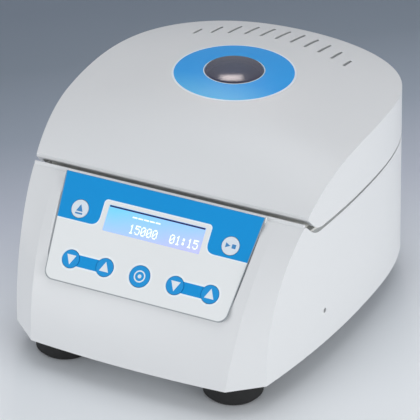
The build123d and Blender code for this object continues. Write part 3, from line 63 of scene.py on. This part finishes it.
class Level:
    """A shader value that takes part in Python arithmetic."""

    def __init__(self, finish, socket):
        self.finish = finish
        self.socket = socket

    def math(self, operation, *others, clamp=False):
        return self.finish.math(operation, self, *others, clamp=clamp)

    def __add__(self, other):
        return self.math("ADD", other)

    __radd__ = __add__

    def __sub__(self, other):
        return self.math("SUBTRACT", other)

    def __rsub__(self, other):
        return self.finish.math("SUBTRACT", other, self)

    def __mul__(self, other):
        return self.math("MULTIPLY", other)

    __rmul__ = __mul__

    def __truediv__(self, other):
        return self.math("DIVIDE", other)

    def __neg__(self):
        return self.math("MULTIPLY", -1.0)

    def __abs__(self):
        return self.math("ABSOLUTE")

    def __pow__(self, other):
        return self.math("POWER", other)

    def highest(self, other):
        return self.math("MAXIMUM", other)

    def lowest(self, other):
        return self.math("MINIMUM", other)

    def below(self, edge, soft=0.00006):
        """One where the value is under the edge, with a thin soft border."""
        return ((edge - self) / soft + 0.5).math("ADD", 0.0, clamp=True)


class Finish:
    """One procedural material, built node by node."""

    def __init__(self, name):
        self.material = bpy.data.materials.new(name)
        self.material.use_nodes = True
        self.tree = self.material.node_tree
        self.tree.nodes.clear()
        self.output = self.tree.nodes.new("ShaderNodeOutputMaterial")
        self.surface = self.tree.nodes.new("ShaderNodeBsdfPrincipled")
        self.tree.links.new(self.surface.outputs[0], self.output.inputs[0])
        self.place = None

    def feed(self, socket, given):
        if isinstance(given, Level):
            self.tree.links.new(given.socket, socket)
        elif isinstance(given, bpy.types.NodeSocket):
            self.tree.links.new(given, socket)
        elif given is not None:
            socket.default_value = given

    def node(self, kind, settings=None, **sockets):
        """A node with its settings made first, then its sockets by name."""
        made = self.tree.nodes.new(kind)
        for name, setting in (settings or {}).items():
            if name == "stops":
                ramp = made.color_ramp
                while len(ramp.elements) > 1:
                    ramp.elements.remove(ramp.elements[-1])
                ramp.elements[0].position, ramp.elements[0].color = setting[0]
                for position, colour in setting[1:]:
                    ramp.elements.new(position).color = colour
            else:
                setattr(made, name, setting)
        for name, given in sockets.items():
            self.feed(made.inputs[name.replace("_", " ")], given)
        return made

    def math(self, operation, *terms, clamp=False):
        made = self.tree.nodes.new("ShaderNodeMath")
        made.operation = operation
        made.use_clamp = clamp
        for socket, term in zip(made.inputs, terms):
            self.feed(socket, term)
        return Level(self, made.outputs[0])

    def xyz(self):
        """Place on the object, in metres, as three values."""
        if self.place is None:
            where = self.node("ShaderNodeTexCoord")
            self.place = where.outputs["Object"]
        split = self.node("ShaderNodeSeparateXYZ", Vector=self.place)
        return [Level(self, split.outputs[k]) for k in range(3)]

    def noise(self, scale, detail=4.0, roughness=0.55, stretch=None):
        """Noise over the object, scale in features per metre."""
        self.xyz()
        vector = self.place
        if stretch:
            vector = self.node("ShaderNodeMapping", Vector=vector, Scale=stretch).outputs[0]
        made = self.node("ShaderNodeTexNoise", Vector=vector, Scale=scale, Detail=detail, Roughness=roughness)
        return Level(self, made.outputs[0])

    def blend(self, amount, first, second):
        """Colour that goes from the first to the second with the amount."""
        made = self.node("ShaderNodeMix", {"data_type": "RGBA"})
        self.feed(made.inputs["Factor"], amount)
        self.feed(made.inputs[6], first)
        self.feed(made.inputs[7], second)
        return made.outputs[2]

    def set(self, **sockets):
        for name, given in sockets.items():
            self.feed(self.surface.inputs[name.replace("_", " ")], given)
        return self

    def bump(self, height, distance, strength=1.0):
        made = self.node("ShaderNodeBump", Height=height, Distance=distance, Strength=strength)
        self.feed(self.surface.inputs["Normal"], made.outputs[0])
        return self


def moulded(name, colour, rough=0.42, grain=0.000012, shade=0.03, grain_scale=2600.0, gloss=0.5):
    """Moulded plastic: fine spark-eroded grain, a soft mottle and faint handling wear."""
    finish = Finish(name)
    mottle = finish.noise(14.0, 3.0)
    wear = finish.noise(90.0, 5.0, 0.7)
    darker = tuple(level * (1 - shade) for level in colour[:3]) + (1.0,)
    finish.set(
        Base_Color=finish.blend(mottle, colour, darker),
        Roughness=rough - 0.05 + wear * 0.10,
        Specular_IOR_Level=gloss,
    )
    return finish.bump(finish.noise(grain_scale, 2.0, 0.6), grain)


def metal(name, colour, rough, direction, grain=0.000006, variation=0.12):
    """Machined or rolled metal with fine lines along one direction."""
    finish = Finish(name)
    lines = finish.noise(900.0, 6.0, 0.65, direction)
    patina = finish.noise(35.0, 4.0)
    dull = tuple(level * (1 - variation) for level in colour[:3]) + (1.0,)
    finish.set(
        Base_Color=finish.blend(patina, colour, dull),
        Metallic=1.0,
        Roughness=rough - 0.08 + lines * 0.16,
    )
    return finish.bump(lines, grain)


def turned(name, colour, rough, centre_x, centre_y, pitch=0.0006, variation=0.15):
    """Metal turned on a lathe: fine rings about an upright axis."""
    finish = Finish(name)
    x, y, z = finish.xyz()
    radius = ((x - centre_x) * (x - centre_x) + (y - centre_y) * (y - centre_y)) ** 0.5
    rings = ((radius + z) * (2 * math.pi / pitch)).math("SINE")
    patina = finish.noise(40.0, 4.0)
    dull = tuple(level * (1 - variation) for level in colour[:3]) + (1.0,)
    finish.set(
        Base_Color=finish.blend(patina, colour, dull),
        Metallic=1.0,
        Roughness=rough + rings * 0.04,
    )
    return finish.bump(rings, 0.000004)


def rubbery(name, colour, rough=0.75):
    """Soft rubber with a dusty bloom and a fine cast skin."""
    finish = Finish(name)
    bloom = finish.noise(120.0, 6.0, 0.7)
    dusty = tuple(level * 1.8 + 0.01 for level in colour[:3]) + (1.0,)
    finish.set(Base_Color=finish.blend(bloom, colour, dusty), Roughness=rough + bloom * 0.12)
    return finish.bump(finish.noise(1800.0, 3.0), 0.00002)


def smooth_union(finish, first, second, blend_width):
    """Union of two signed distances with a fillet where they meet."""
    share = (0.5 + (second - first) * (0.5 / blend_width)).math("ADD", 0.0, clamp=True)
    mixed = second + (first - second) * share
    return mixed - share * (1 - share) * blend_width


def panel_place(finish):
    """Across and down the sloping panel, in metres."""
    x, y, z = finish.xyz()
    down = -((y - panel_top_y) * math.cos(panel_slope) + (z - panel_top_z) * math.sin(panel_slope))
    return x, down


def disc(across, down, centre_x, centre_v):
    """Distance from a point of the panel."""
    return ((across - centre_x) * (across - centre_x) + (down - centre_v) * (down - centre_v)) ** 0.5


def triangle(across, down, centre_x, centre_v, size, upwards):
    """Signed distance to a printed arrow head, negative inside it."""
    turn = 1.0 if upwards else -1.0
    rise = (centre_v - down) * turn
    side = abs(across - centre_x)
    slant = side * 0.894 + rise * 0.447 - size * 0.447
    return slant.highest(-rise - size * 0.72)


print_blue = tint(0, 153, 225)
print_white = tint(236, 242, 247)
panel_grey = tint(241, 243, 243)


def panel_print(name):
    """Printed film of the control panel: blue field, pads, arrows and white borders, with a painted shade line round
    its outline.
    """
    finish = Finish(name)
    across, down = panel_place(finish)
    side = abs(across)
    under_field = 0.0294 - down
    corner = 0.0024
    notch_x = side - (0.0362 - corner)
    notch_v = (0.0122 + corner) - down
    notch_far = (notch_x.highest(0.0) * notch_x.highest(0.0) + notch_v.highest(0.0) * notch_v.highest(0.0)) ** 0.5
    notch = notch_far + notch_x.highest(notch_v).lowest(0.0) - corner
    # Grey below the field and round the display, filleted where they meet
    grey_side = smooth_union(finish, under_field, notch, 0.0060)
    blue = 1 - grey_side.below(0.0)
    rim = grey_side.below(0.0) * (1 - grey_side.below(-0.0007))
    pads = None
    for middle in (-(key_outer_x + key_inner_x) / 2, (key_outer_x + key_inner_x) / 2):
        half = (key_outer_x - key_inner_x) / 2
        bar = (abs(across - middle) - half).highest(abs(down - key_lower_v - 0.0001) - 0.0036)
        pads = bar if pads is None else pads.lowest(bar)
    for x in (-key_outer_x, -key_inner_x, key_inner_x, key_outer_x):
        pads = pads.lowest(disc(across, down, x, key_lower_v) - 0.0059)
    pads = pads.lowest(disc(across, down, 0.0, key_lower_v) - 0.0069)
    pad_rim = pads.below(0.0011, 0.0008)
    pad_blue = pads.below(0.0)
    mottle = finish.noise(20.0, 3.0)
    grey = finish.blend(mottle, panel_grey, tuple(level * 0.97 for level in panel_grey[:3]) + (1.0,))
    blue_tone = finish.blend(mottle, print_blue, tint(0, 148, 220))
    colour = finish.blend((rim + pad_rim).math("MINIMUM", 1.0), grey, tint(246, 252, 255))
    colour = finish.blend(blue.highest(pad_blue), colour, blue_tone)
    # Painted shade: a thin grey line along the film's outline stands in for the shade of the recess step
    half = 0.0672 - down * 0.0912
    edge = (side - half).highest(down - 0.068)
    corner_x, corner_v = side - half + 0.006, down - 0.062
    round_far = (corner_x.highest(0.0) * corner_x.highest(0.0) + corner_v.highest(0.0) * corner_v.highest(0.0)) ** 0.5
    edge = edge.highest(round_far - 0.006)
    colour = finish.blend(1 - edge.below(-0.0007, 0.0005), colour, tint(150, 156, 160))
    finish.set(
        Base_Color=colour,
        Roughness=0.30 + finish.noise(140.0, 4.0) * 0.08,
        Specular_IOR_Level=0.35,
    )
    return finish.bump(finish.noise(1500.0, 2.0), 0.000006)


def key_print(name, ground, mark, shape, centre_x, centre_v):
    """Printed key cap with a plain symbol in its middle."""
    finish = Finish(name)
    across, down = panel_place(finish)
    inside = shape(across, down, centre_x, centre_v)
    colour = ground if inside is None else finish.blend(inside.below(0.0), ground, mark)
    finish.set(Base_Color=colour, Roughness=0.30 + finish.noise(200.0, 4.0) * 0.08, Coat_Weight=0.25)
    return finish.bump(finish.noise(1500.0, 2.0), 0.000006)


def arrow_up(across, down, x, v):
    return triangle(across, down, x, v, 0.0036, True)


def arrow_down(across, down, x, v):
    return triangle(across, down, x, v, 0.0036, False)


def run_mark(across, down, x, v):
    """A play wedge beside a stop square."""
    wedge_x = across - (x - 0.0020)
    wedge = (abs(down - v) * 0.894 + wedge_x * 0.447 - 0.00085).highest(-wedge_x - 0.0012)
    square = abs(across - (x + 0.0022)).highest(abs(down - v)) - 0.0013
    return wedge.lowest(square)


def open_mark(across, down, x, v):
    """An upward wedge over a bar, as on an open key."""
    wedge = triangle(across, down, x, v - 0.0003, 0.0026, True)
    bar = (abs(across - x) - 0.0024).highest(abs(down - v - 0.0029) - 0.0005)
    return wedge.lowest(bar)


def pulse_mark(across, down, x, v):
    """A ring with a dot, for a short spin."""
    away = ((across - x) * (across - x) + (down - v) * (down - v)) ** 0.5
    ring = abs(away - 0.0033) - 0.00042
    return ring.lowest(away - 0.0012)


def ring_print(name):
    """Printed ring round the window: blue field between thin white borders, with a painted highlight making the blue
    paler towards the front.
    """
    finish = Finish(name)
    x, y, z = finish.xyz()
    radius = (x * x + (y - chamber_y) * (y - chamber_y)) ** 0.5
    field = radius.below(0.0377) * (1 - radius.below(0.0193))
    mottle = finish.noise(20.0, 3.0)
    # Painted highlight: the blue turns paler towards the front of the ring
    front_highlight = ((chamber_y - 0.012 - y) * 34.0 + (mottle - 0.5) * 0.3).math("ADD", 0.0, clamp=True)
    blue_tone = finish.blend(front_highlight, tint(0, 160, 240), tint(84, 190, 242))
    finish.set(
        Base_Color=finish.blend(field, print_white, blue_tone),
        Roughness=0.30 + finish.noise(140.0, 4.0) * 0.08,
        Specular_IOR_Level=0.3,
    )
    return finish.bump(finish.noise(1500.0, 2.0), 0.000006)


def smoked(name):
    """Smoked clear dome over the chamber."""
    finish = Finish(name)
    x, y, z = finish.xyz()
    away = x * x + (y - chamber_y) * (y - chamber_y)
    cloud = finish.noise(60.0, 3.0)
    warm = (away * 2600.0).math("ADD", 0.0, clamp=True) * cloud
    finish.set(
        Base_Color=finish.blend(warm, tint(56, 64, 92), tint(72, 56, 62)),
        Roughness=0.10 + finish.noise(300.0, 3.0) * 0.04,
        Alpha=0.90,
        Coat_Weight=0.6,
        Coat_Roughness=0.08,
    )
    finish.bump(away * -4.6, 1.0)
    return finish


def lit_display(name):
    """Backlit display: light blue at the left, turning violet to the right and down, with a painted bezel shadow line
    along its top.
    """
    finish = Finish(name)
    across, down = panel_place(finish)
    sweep = ((across + display_half) / (2 * display_half)).math("ADD", 0.0, clamp=True)
    drop = ((down - display_mid_v + display_half_height) / (2 * display_half_height)).math("ADD", 0.0, clamp=True)
    violet = (sweep * 0.55 + drop * 0.65 - 0.12 + (finish.noise(60.0, 2.0) - 0.5) * 0.3).math("ADD", 0.0, clamp=True)
    glow = finish.blend(violet, tint(112, 194, 242), tint(178, 182, 236))
    # Painted shadow: a dark navy line near the top stands in for the bezel's shadow on the display
    bezel_shadow_line = (abs(down - 0.0157) - 0.0005).below(0.0) * (side_limit(across))
    glow = finish.blend(bezel_shadow_line, glow, tint(28, 26, 78))
    finish.set(
        Base_Color=glow,
        Emission_Color=glow,
        Emission_Strength=0.45,
        Roughness=0.16 + finish.noise(200.0, 2.0) * 0.04,
        Coat_Weight=0.3,
    )
    return finish


def side_limit(across):
    """One inside the display's width."""
    return abs(across).below(display_half - 0.0002)


def circuit(name):
    """Solder mask with fine copper tracks showing through it."""
    finish = Finish(name)
    finish.xyz()
    tracks = finish.node("ShaderNodeTexVoronoi", {"feature": "DISTANCE_TO_EDGE"}, Vector=finish.place, Scale=260.0)
    track = Level(finish, tracks.outputs[0]).below(0.06, 0.03)
    finish.set(Base_Color=finish.blend(track, tint(16, 74, 44), tint(34, 112, 62)), Roughness=0.35 + track * 0.1)
    return finish.bump(track, 0.00002)


white_casing = moulded("white_casing", tint(225, 226, 227), 0.40, 0.000010, 0.02)
deck_white = moulded("deck_white", tint(226, 226, 222), 0.45, 0.000012, 0.03)
liner_grey = moulded("liner_grey", tint(150, 152, 156), 0.48, 0.000012, 0.04)
floor_grey = moulded("floor_grey", tint(198, 200, 202), 0.55, 0.00002, 0.05)
black_plastic = moulded("black_plastic", tint(30, 30, 31), 0.42, 0.00001, 0.12)
knob_black = moulded("knob_black", tint(24, 24, 26), 0.32, 0.000006, 0.10)
component_black = moulded("component_black", tint(34, 34, 38), 0.5, 0.00001, 0.2)
foot_rubber = rubbery("foot_rubber", tint(14, 14, 15))
gasket_rubber = rubbery("gasket_rubber", tint(44, 44, 46), 0.6)
zinc_plate = metal("zinc_plate", tint(178, 180, 184), 0.34, (1, 1, 6))
pressed_steel = metal("pressed_steel", tint(170, 172, 176), 0.36, (1, 8, 8))
bowl_steel = turned("bowl_steel", tint(196, 198, 200), 0.30, 0.0, chamber_y, 0.0011)
rotor_anodised = turned("rotor_anodised", tint(70, 74, 82), 0.34, 0.0, chamber_y, 0.0008)
motor_enamel = metal("motor_enamel", tint(52, 53, 56), 0.45, (1, 1, 10))
core_laminate = metal("core_laminate", tint(88, 80, 74), 0.5, (1, 1, 30), 0.00002)
pin_brass = metal("pin_brass", tint(196, 180, 128), 0.28, (1, 6, 1))
rear_paint = moulded("rear_paint", tint(208, 210, 212), 0.38, 0.00001, 0.03, 1200.0)
panel_film = panel_print("panel_film")
ring_film = ring_print("ring_film")
window_smoke = smoked("window_smoke")
display_glow = lit_display("display_glow")
board_green = circuit("board_green")

blue_key = tint(0, 152, 224)
white_key = tint(228, 236, 244)
mark_blue = tint(64, 140, 200)
key_finishes = {
    "key_lid": key_print("key_lid_print", white_key, mark_blue, open_mark, -key_upper_x, key_upper_v),
    "key_start_stop": key_print("key_start_print", white_key, mark_blue, run_mark, key_upper_x, key_upper_v),
    "key_speed_down": key_print("key_down_print", blue_key, print_white, arrow_down, -key_outer_x, key_lower_v),
    "key_speed_up": key_print("key_up_print", blue_key, print_white, arrow_up, -key_inner_x, key_lower_v),
    "key_time_down": key_print("key_less_print", blue_key, print_white, arrow_down, key_inner_x, key_lower_v),
    "key_time_up": key_print("key_more_print", blue_key, print_white, arrow_up, key_outer_x, key_lower_v),
    "key_short_spin": key_print("key_short_print", blue_key, print_white, pulse_mark, 0.0, key_lower_v),
}

finishes = {
    "base_housing": white_casing, "lid_shell": white_casing, "floor_plate": floor_grey,
    "rubber_feet": foot_rubber, "foot_screws": zinc_plate, "foot_nuts": zinc_plate,
    "floor_screws": zinc_plate, "deck_screws": zinc_plate, "damper_screws": zinc_plate,
    "board_screws": zinc_plate, "fan_screws": zinc_plate, "hinge_base_screws": zinc_plate,
    "hinge_lid_screws": zinc_plate, "lid_screws": zinc_plate, "rear_panel_screws": zinc_plate,
    "hinge_base_leaf": pressed_steel, "hinge_lid_leaf": pressed_steel, "hinge_pin": pressed_steel,
    "catch_bracket": pressed_steel, "catch_bolt": pressed_steel, "lid_striker": pressed_steel,
    "catch_solenoid": motor_enamel, "spindle": pressed_steel, "motor_bearings": pressed_steel,
    "motor_mount": pressed_steel, "motor_can": motor_enamel, "motor_end_cap": motor_enamel,
    "motor_stator": core_laminate, "magnet_rotor": core_laminate, "motor_dampers": foot_rubber,
    "chamber_gasket": gasket_rubber, "chamber_bowl": bowl_steel, "tube_rotor": rotor_anodised,
    "rotor_nut": knob_black, "top_deck": deck_white, "lid_liner": liner_grey,
    "window_lens": window_smoke, "ring_label": ring_film, "control_overlay": panel_film,
    "display_lens": display_glow, "display_module": component_black, "control_board": board_green,
    "power_board": board_green, "power_components": component_black, "key_switches": component_black,
    "fan_frame": black_plastic, "fan_impeller": black_plastic, "power_switch": black_plastic,
    "power_rocker": black_plastic, "mains_inlet": black_plastic, "rear_panel": rear_paint,
    "inlet_pins": pin_brass, **key_finishes,
}
for name, node in casing_nodes.items():
    node.data.materials.clear()
    node.data.materials.append(finishes[name].material)


def add_mesh(name, corners, faces, finish, body):
    """A new piece from its corners and faces, on a body."""
    mesh = bpy.data.meshes.new(name)
    mesh.from_pydata([tuple(c) for c in corners], [], faces)
    mesh.update()
    mesh.materials.append(finish.material)
    piece = bpy.data.objects.new(name, mesh)
    scene.collection.objects.link(piece)
    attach(piece, body)
    return piece


def on_panel(across, down, out):
    """A point of the row's frame from its place on the panel."""
    return panel_origin + Vector((across, 0, 0)) - panel_up * down + panel_out * out


# Plain numbers of a dot-matrix display, seven rows of five dots
digit_dots = {
    "0": ("01110", "10001", "10011", "10101", "11001", "10001", "01110"),
    "1": ("00100", "01100", "00100", "00100", "00100", "00100", "01110"),
    "5": ("11111", "10000", "11110", "00001", "00001", "10001", "01110"),
    ":": ("00000", "01100", "01100", "00000", "01100", "01100", "00000"),
    "-": ("00000", "00000", "00000", "11111", "00000", "00000", "00000"),
    " ": ("00000",) * 7,
}
display_rows = ("    -----       ", "    15000  01:15")


def display_digits():
    """Lit dots of the display's two rows of sixteen places."""
    finish = Finish("lit_dots")
    shimmer = finish.noise(400.0, 2.0)
    finish.set(
        Base_Color=finish.blend(shimmer, tint(246, 250, 255), tint(236, 242, 255)),
        Emission_Color=tint(246, 250, 255),
        Emission_Strength=0.55,
        Roughness=0.3,
    )
    pitch_x = 2 * display_half / 16.6
    dot_x = pitch_x / 6
    dot_v = 0.00082
    corners, faces = [], []
    for row, text in enumerate(display_rows):
        top = display_mid_v - 0.0067 + row * 0.0071
        for place, character in enumerate(text):
            left = -8 * pitch_x + place * pitch_x
            for j, line in enumerate(digit_dots[character]):
                for i, dot in enumerate(line):
                    if dot == "0":
                        continue
                    x0, v0 = left + i * dot_x, top + j * dot_v
                    x1, v1 = x0 + dot_x * 0.96, v0 + dot_v * 0.96
                    start = len(corners)
                    corners += [on_panel(x, v, 0.00004) for x, v in ((x0, v0), (x0, v1), (x1, v1), (x1, v0))]
                    faces.append((start, start + 1, start + 2, start + 3))
    return add_mesh("display_digits", corners, faces, finish, "base")


display_digits()


def crown(name, left, right, profile, finish):
    """A moulded strip along the front edge of the seam, from its side view."""
    count = len(profile)
    corners = [(x, y, z) for x in (left, right) for y, z in profile]
    faces = [tuple(range(count)), tuple(reversed(range(count, 2 * count)))]
    for k in range(count):
        after = (k + 1) % count
        faces.append((k, count + k, count + after, after))
    return add_mesh(name, corners, faces, finish, "base")


crown_top = 0.1104
crown_rear = ((-0.0722, crown_top), (-0.0711, 0.1100), (-0.0706, 0.1092), (-0.0704, 0.1078))
film_low = on_panel(0, 0.0043, 0)
film_high = on_panel(0, (panel_top_z - crown_top) / math.sin(panel_slope), 0)
panel_low = on_panel(0, 0.0043, -0.0009)
panel_high = on_panel(0, (panel_top_z - crown_top) / math.sin(panel_slope), -0.0009)
crown("front_edge_middle", -0.0668, 0.0668, ((panel_low.y, panel_low.z - 0.0005), (panel_high.y, crown_top)) + crown_rear, white_casing)
crown("film_edge", -0.0667, 0.0667, ((film_low.y, film_low.z), (film_high.y, film_high.z), (panel_high.y + 0.0001, crown_top), (panel_low.y + 0.0001, panel_low.z)), panel_film)
for side, name in ((-1, "front_edge_left"), (1, "front_edge_right")):
    inner, outer = side * 0.0668, side * 0.0905
    crown(name, min(inner, outer), max(inner, outer), ((-0.0727, 0.1078), (-0.0726, 0.1099), (-0.0722, crown_top)) + crown_rear[1:], white_casing)

# Floor, lights and camera
ground = Finish("ground")
gx, gy, gz = ground.xyz()
# Painted shade: the floor's colour darkens with distance behind the object, standing in for light falling off
falloff_depth = (gy * 0.79 - gx * 0.663 + 0.25).math("ADD", 0.0, clamp=True)
painted_falloff_ramp = ground.node(
    "ShaderNodeValToRGB",
    {"stops": [(0.08, tint(246, 248, 250)), (0.17, tint(240, 243, 246)), (0.27, tint(228, 232, 238)), (0.38, tint(196, 201, 213)), (0.49, tint(158, 167, 180)), (0.60, tint(132, 142, 154)), (0.70, tint(122, 132, 145))]},
    Fac=falloff_depth,
)
ground.set(Base_Color=painted_falloff_ramp.outputs[0], Roughness=0.7 + ground.noise(8.0, 2.0) * 0.05, Specular_IOR_Level=0.2)
floor_mesh = bpy.data.meshes.new("bench_floor")
floor_mesh.from_pydata([(-6, -6, 0), (6, -6, 0), (6, 6, 0), (-6, 6, 0)], [], [(0, 1, 2, 3)])
floor_mesh.materials.append(ground.material)
bench_floor = bpy.data.objects.new("bench_floor", floor_mesh)
scene.collection.objects.link(bench_floor)


def softbox(name, place, target, width, height, power, colour=(1, 1, 1), spread=180):
    """A large rectangular light turned towards a point."""
    light = bpy.data.lights.new(name, "AREA")
    light.shape = "RECTANGLE"
    light.size, light.size_y = width, height
    light.energy = power
    light.color = colour
    lamp = bpy.data.objects.new(name, light)
    light.spread = math.radians(spread)
    lamp.location = place
    lamp.rotation_euler = (Vector(target) - Vector(place)).to_track_quat("-Z", "Y").to_euler()
    scene.collection.objects.link(lamp)
    return lamp


softbox("left_softbox", (-1.43, -2.08, 0.42), (0, 0, 0.06), 1.6, 0.6, 18, (0.98, 0.99, 1.0))
softbox("right_softbox", (2.35, -0.55, 0.36), (0, 0, 0.06), 1.4, 0.5, 24, (0.985, 0.995, 1.0))
softbox("top_softbox", (0.0, 0.2, 2.2), (0, 0, 0.1), 1.6, 1.6, 10.5, (0.94, 0.97, 1.0))
softbox("window_glint", (-1.05, 2.1, 2.15), (0, 0.0215, 0.15), 0.46, 0.46, 0.17, (1.0, 0.88, 0.85), 30)
world = bpy.data.worlds.new("studio")
world.use_nodes = True
world.node_tree.nodes["Background"].inputs[0].default_value = (0.82, 0.845, 0.88, 1)
world.node_tree.nodes["Background"].inputs[1].default_value = 0.54
scene.world = world

camera_data = bpy.data.cameras.new("camera")
camera_data.sensor_width = 36.0
camera_data.lens = 232.6
camera_data.clip_start = 0.05
camera = bpy.data.objects.new("camera", camera_data)
camera.location = (0.64676, -1.33703, 0.91183)
aim = Vector((-0.000063, -0.012644, 0.06723)) - camera.location
camera.rotation_euler = aim.to_track_quat("-Z", "Y").to_euler()
scene.collection.objects.link(camera)
scene.camera = camera
scene.view_settings.view_transform = "Standard"
